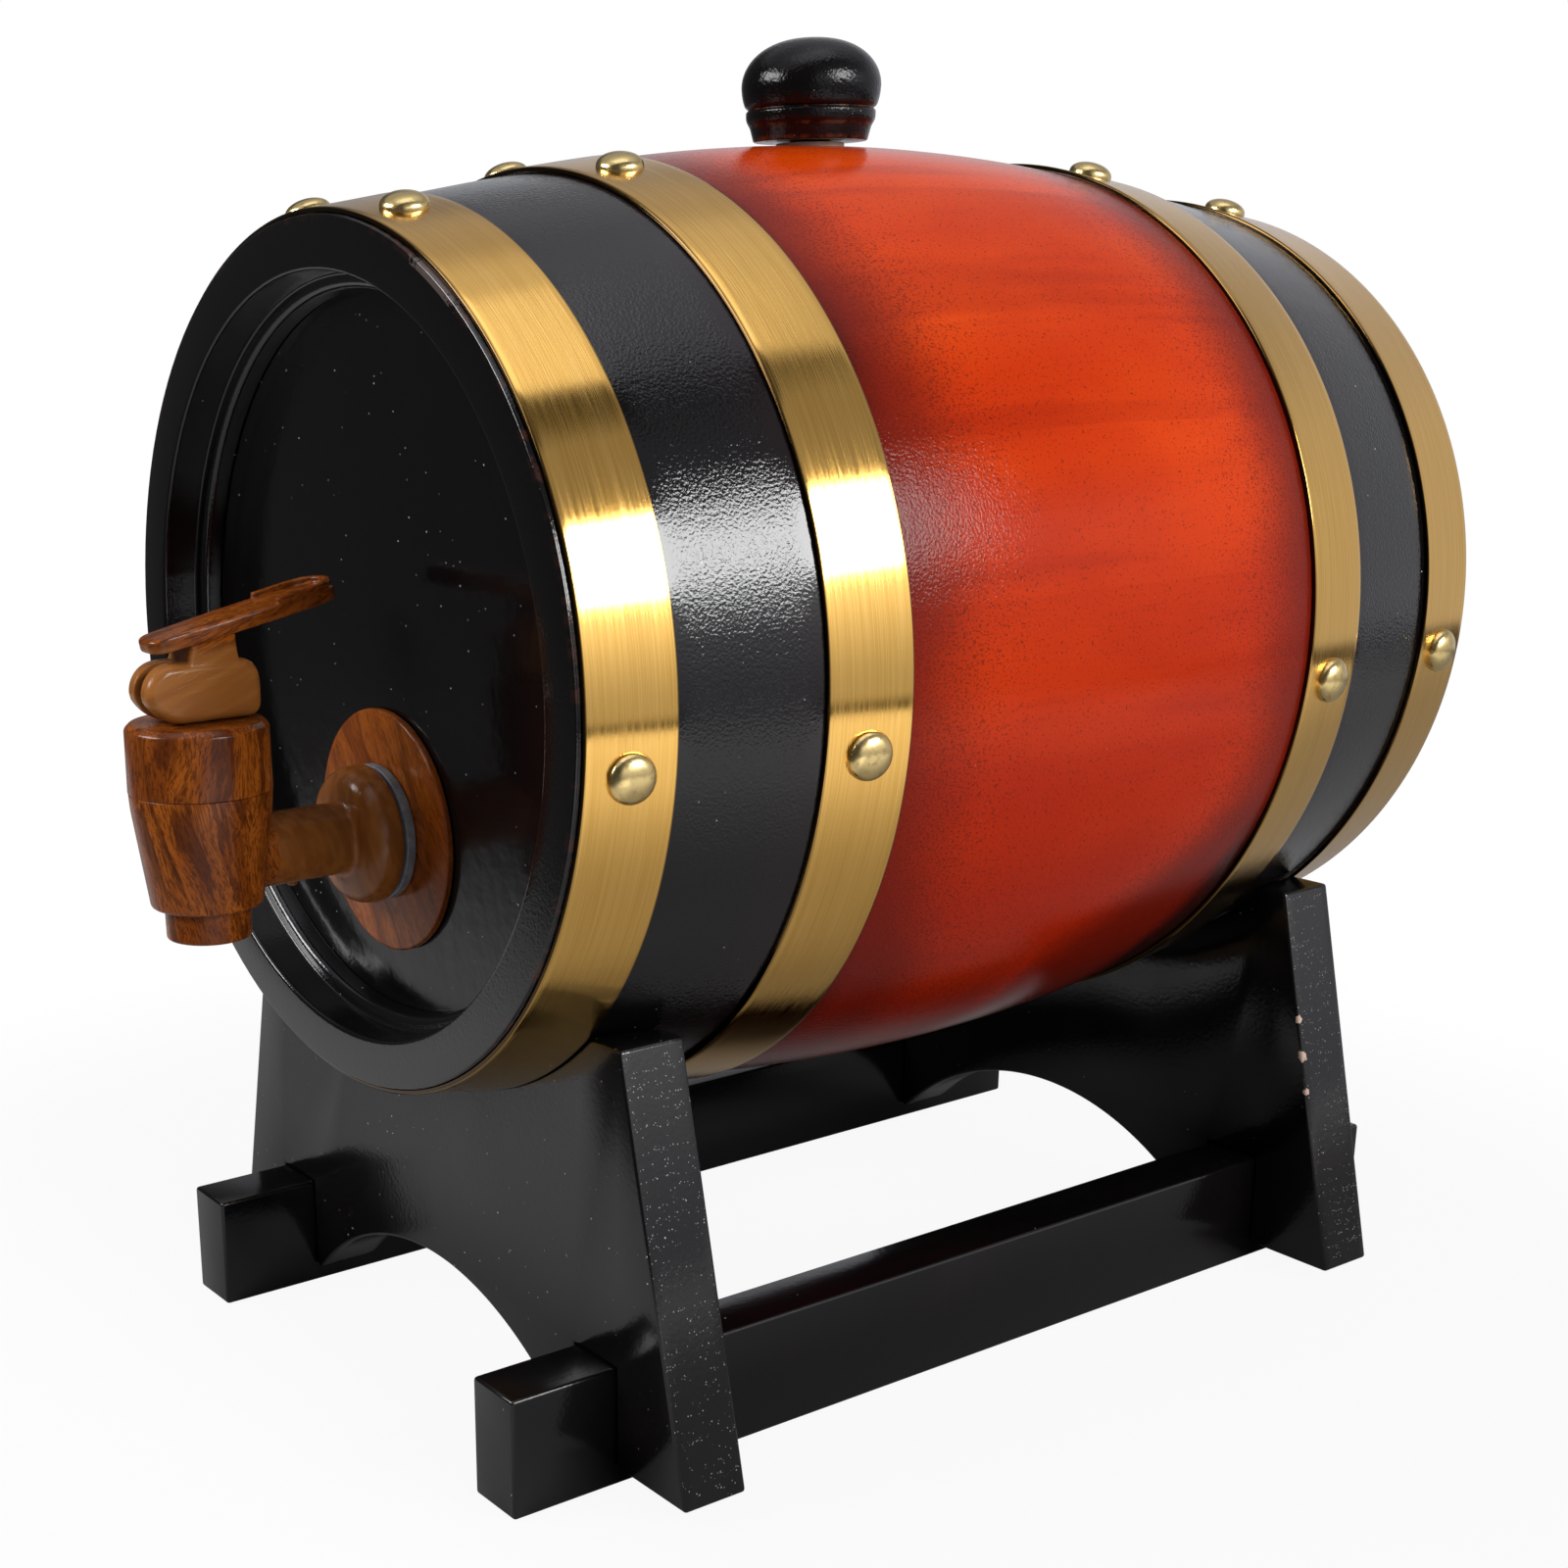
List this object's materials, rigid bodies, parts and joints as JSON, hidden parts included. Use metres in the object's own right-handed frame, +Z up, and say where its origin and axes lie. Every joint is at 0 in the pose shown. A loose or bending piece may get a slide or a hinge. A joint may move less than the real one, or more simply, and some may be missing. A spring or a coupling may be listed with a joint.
{
  "type": "cask liquor dispenser",
  "caption": "Small bilged oak cask lying in a cradle stand, with nailed hoops, a turned bung on top and a lever tap with its spout in the front head.",
  "frame": {"origin": "middle of the whole part's footprint, on the surface that the stand's rails rest on", "axes": "+Z up; the cask lies along Y with its tap towards -Y; +X is to the right when the tap is seen from in front, and the part is the same on both sides of X = 0"},
  "size_m": [0.2098, 0.3104, 0.294],
  "materials": {
    "stained_oak": "glossy amber-red stain, black towards the hoops",
    "black_lacquer": "glossy black lacquer",
    "brushed_brass": "brushed round the hoop",
    "woodgrain_plastic": "printed wood grain under gloss",
    "plain_plastic": "plain brown, little grain",
    "silicone": "translucent white",
    "washer_rubber": "grey",
    "spring_steel": "drawn wire"
  },
  "bodies": {
    "stand": {"front_end_board": "black_lacquer", "rear_end_board": "black_lacquer", "left_rail": "black_lacquer", "right_rail": "black_lacquer"},
    "cask": {"stave_01": "stained_oak", "stave_02": "stained_oak", "stave_03": "stained_oak", "stave_04": "stained_oak", "stave_05": "stained_oak", "stave_06": "stained_oak", "stave_07": "stained_oak", "stave_08": "stained_oak", "stave_09": "stained_oak", "stave_10": "stained_oak", "stave_11": "stained_oak", "stave_12": "stained_oak", "stave_13": "stained_oak", "stave_14": "stained_oak", "stave_15": "stained_oak", "stave_16": "stained_oak", "stave_17": "stained_oak", "stave_18": "stained_oak", "stave_19": "stained_oak", "stave_20": "stained_oak", "front_head": "black_lacquer", "rear_head": "black_lacquer", "front_end_hoop": "brushed_brass", "front_quarter_hoop": "brushed_brass", "rear_quarter_hoop": "brushed_brass", "rear_end_hoop": "brushed_brass", "hoop_nail_1_1": "brushed_brass", "hoop_nail_1_2": "brushed_brass", "hoop_nail_1_3": "brushed_brass", "hoop_nail_1_4": "brushed_brass", "hoop_nail_2_1": "brushed_brass", "hoop_nail_2_2": "brushed_brass", "hoop_nail_2_3": "brushed_brass", "hoop_nail_2_4": "brushed_brass", "hoop_nail_3_1": "brushed_brass", "hoop_nail_3_2": "brushed_brass", "hoop_nail_3_3": "brushed_brass", "hoop_nail_3_4": "brushed_brass", "hoop_nail_4_1": "brushed_brass", "hoop_nail_4_2": "brushed_brass", "hoop_nail_4_3": "brushed_brass", "hoop_nail_4_4": "brushed_brass", "tap_body": "woodgrain_plastic", "bonnet_cap": "woodgrain_plastic", "tap_escutcheon": "woodgrain_plastic", "shank_washer": "washer_rubber", "inner_washer": "washer_rubber", "back_nut": "plain_plastic"},
    "bung": {"bung_knob": "black_lacquer", "bung_plug": "silicone"},
    "plunger": {"seal_cup": "silicone", "closing_spring": "spring_steel"},
    "stem": {"lever_stem": "plain_plastic"},
    "lever": {"lever": "plain_plastic", "lever_pin": "spring_steel"}
  },
  "joints": [
    {"name": "cask_lift", "type": "slide", "parent": "stand", "child": "cask", "axis": [0, 0, 1], "range_m": [0, 0.06]},
    {"name": "bung_pull", "type": "slide", "parent": "cask", "child": "bung", "axis": [0, 0, 1], "range_m": [0, 0.03]},
    {"name": "valve_lift", "type": "slide", "parent": "cask", "child": "plunger", "axis": [0, 0, 1], "range_m": [0, 0.0079], "deforming": ["closing_spring"]},
    {"name": "lever_swivel", "type": "hinge", "parent": "plunger", "child": "stem", "pos_m": [0, -0.1403, 0.1591], "axis": [0, 0, 1], "continuous": true},
    {"name": "lever_flip", "type": "hinge", "parent": "stem", "child": "lever", "pos_m": [0, -0.1403, 0.1655], "axis": [1, 0, 0], "range_deg": [0, 90]}
  ],
  "couplings": [
    {"joint": "valve_lift", "follows": "lever_flip", "m_per_rad": 0.005}
  ]
}
